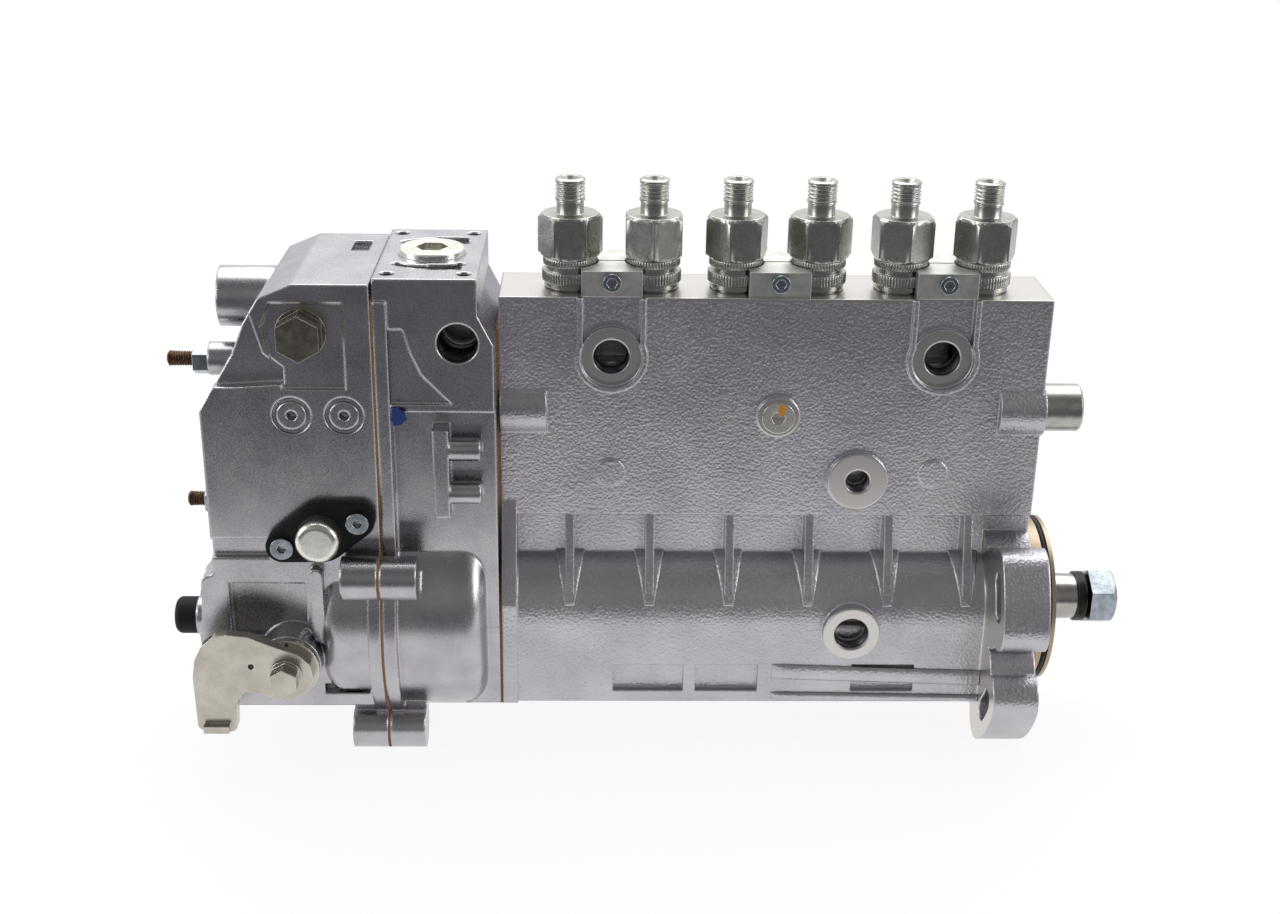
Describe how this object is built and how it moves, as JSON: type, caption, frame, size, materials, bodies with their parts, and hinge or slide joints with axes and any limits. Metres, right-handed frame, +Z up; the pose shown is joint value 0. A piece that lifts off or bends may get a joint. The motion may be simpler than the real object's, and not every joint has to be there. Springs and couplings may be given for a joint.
{
  "type": "diesel injection pump",
  "caption": "In-line diesel injection pump with a mechanical governor, flange mounted and driven through a keyed taper shaft.",
  "frame": {"origin": "on the camshaft's axis, in the mounting flange's engine-side face", "axes": "+X along the camshaft out of the drive end, +Z up towards the delivery valve holders, -Y the side with the fuel ports"},
  "size_m": [0.3856, 0.12, 0.2284],
  "materials": {
    "cast_housing": "sand-cast grain, shot blasted",
    "diecast": "smooth die-cast skin",
    "cream_aluminium": "machined, cream-tan",
    "bright_steel": "ground",
    "dark_steel": "blackened",
    "zinc_green": "zinc plated, grey-green",
    "zinc_blue": "bright zinc",
    "zinc_yellow": "yellow zinc",
    "bronze_steel": "brown phosphate",
    "lever_nickel": "pale nickel",
    "spring_steel": "oiled spring steel",
    "gasket_fibre": "ochre fibre",
    "black_plastic": "moulded",
    "black_rubber": "moulded",
    "weight_iron": "as cast"
  },
  "bodies": {
    "pump": {"barrels": "bright_steel", "base_cover": "zinc_blue", "base_cover_screws": "dark_steel", "bearing_outer_rings": "bright_steel", "clamp_jaws": "zinc_green", "clamp_screws": "zinc_blue", "cover_bolts": "dark_steel", "cover_gasket": "gasket_fibre", "cover_hex_plug": "bronze_steel", "delivery_valve_holders": "zinc_green", "delivery_valves": "bright_steel", "drive_cover_screws": "zinc_blue", "drive_end_cover": "cream_aluminium", "end_disc": "bright_steel", "flange_screws": "zinc_blue", "fulcrum_pin": "bright_steel", "gallery_plug": "zinc_yellow", "governor_cover": "diecast", "governor_gasket": "gasket_fibre", "governor_housing": "diecast", "governor_spring": "spring_steel", "pad_plug": "zinc_yellow", "pilot_o_ring": "black_rubber", "plunger_springs": "spring_steel", "pump_housing": "cast_housing", "rack_guide_cap": "zinc_green", "roller_tappets": "dark_steel", "shaft_seal": "black_rubber", "shutoff_cap": "zinc_yellow", "shutoff_flange": "black_plastic", "spring_seats": "dark_steel", "stop_studs": "bronze_steel", "stud_nuts": "zinc_blue", "tappet_rollers": "bright_steel", "valve_springs": "spring_steel", "vent_cap": "black_plastic"},
    "camshaft_set": {"camshaft": "bright_steel", "bearing_inner_rings": "bright_steel", "bearing_rollers": "bright_steel", "flyweight_carrier": "dark_steel", "carrier_nut": "zinc_blue", "flyweight_pins": "bright_steel", "shaft_nut": "zinc_blue", "lock_washer": "dark_steel", "woodruff_key": "dark_steel"},
    "rack": {"control_rack": "bright_steel"},
    "sleeve": {"governor_sleeve": "bright_steel"},
    "fulcrum": {"fulcrum_lever": "dark_steel"},
    "weight_upper": {"flyweight_upper": "weight_iron"},
    "weight_lower": {"flyweight_lower": "weight_iron"},
    "lever": {"lever_shaft": "lever_nickel", "lever_disc": "lever_nickel", "control_lever": "lever_nickel", "lever_bolt": "lever_nickel"},
    "element_1": {"pumping_element_1": "bright_steel"},
    "element_2": {"pumping_element_2": "bright_steel"},
    "element_3": {"pumping_element_3": "bright_steel"},
    "element_4": {"pumping_element_4": "bright_steel"},
    "element_5": {"pumping_element_5": "bright_steel"},
    "element_6": {"pumping_element_6": "bright_steel"}
  },
  "joints": [
    {"name": "camshaft_spin", "type": "hinge", "parent": "pump", "child": "camshaft_set", "pos_m": [0, 0, 0], "axis": [1, 0, 0], "continuous": true},
    {"name": "rack_slide", "type": "slide", "parent": "pump", "child": "rack", "axis": [-1, 0, 0], "range_m": [0, 0.018], "stiffness_N_per_m": 300, "springref_m": -0.004},
    {"name": "element_1_turn", "type": "hinge", "parent": "pump", "child": "element_1", "pos_m": [-0.186, 0, 0.088], "axis": [0, 0, 1], "range_deg": [-104, 0]},
    {"name": "element_2_turn", "type": "hinge", "parent": "pump", "child": "element_2", "pos_m": [-0.154, 0, 0.088], "axis": [0, 0, 1], "range_deg": [-104, 0]},
    {"name": "element_3_turn", "type": "hinge", "parent": "pump", "child": "element_3", "pos_m": [-0.122, 0, 0.088], "axis": [0, 0, 1], "range_deg": [-104, 0]},
    {"name": "element_4_turn", "type": "hinge", "parent": "pump", "child": "element_4", "pos_m": [-0.09, 0, 0.088], "axis": [0, 0, 1], "range_deg": [-104, 0]},
    {"name": "element_5_turn", "type": "hinge", "parent": "pump", "child": "element_5", "pos_m": [-0.058, 0, 0.088], "axis": [0, 0, 1], "range_deg": [-104, 0]},
    {"name": "element_6_turn", "type": "hinge", "parent": "pump", "child": "element_6", "pos_m": [-0.026, 0, 0.088], "axis": [0, 0, 1], "range_deg": [-104, 0]},
    {"name": "governor_sleeve_slide", "type": "slide", "parent": "pump", "child": "sleeve", "axis": [-1, 0, 0], "range_m": [0, 0.0033]},
    {"name": "fulcrum_swing", "type": "hinge", "parent": "pump", "child": "fulcrum", "pos_m": [-0.2665, 0, -0.019], "axis": [0, 1, 0], "range_deg": [-9.8, 0]},
    {"name": "flyweight_upper_swing", "type": "hinge", "parent": "camshaft_set", "child": "weight_upper", "pos_m": [-0.228, 0, 0.02], "axis": [0, 1, 0], "range_deg": [0, 16.1]},
    {"name": "flyweight_lower_swing", "type": "hinge", "parent": "camshaft_set", "child": "weight_lower", "pos_m": [-0.228, 0, -0.02], "axis": [0, 1, 0], "range_deg": [-16.1, 0]},
    {"name": "control_lever_swing", "type": "hinge", "parent": "pump", "child": "lever", "pos_m": [-0.2955, 0, -0.0077], "axis": [0, 1, 0], "range_deg": [0, 40], "stiffness_Nm_per_rad": 0.06, "springref_deg": -17.19}
  ],
  "couplings": [
    {"joint": "element_1_turn", "follows": "rack_slide", "rad_per_m": -100},
    {"joint": "element_2_turn", "follows": "rack_slide", "rad_per_m": -100},
    {"joint": "element_3_turn", "follows": "rack_slide", "rad_per_m": -100},
    {"joint": "element_4_turn", "follows": "rack_slide", "rad_per_m": -100},
    {"joint": "element_5_turn", "follows": "rack_slide", "rad_per_m": -100},
    {"joint": "element_6_turn", "follows": "rack_slide", "rad_per_m": -100},
    {"joint": "governor_sleeve_slide", "follows": "rack_slide", "ratio": 0.17757},
    {"joint": "fulcrum_swing", "follows": "rack_slide", "rad_per_m": -9.3458},
    {"joint": "flyweight_upper_swing", "follows": "rack_slide", "rad_per_m": 15.5},
    {"joint": "flyweight_lower_swing", "follows": "rack_slide", "rad_per_m": -15.5}
  ]
}
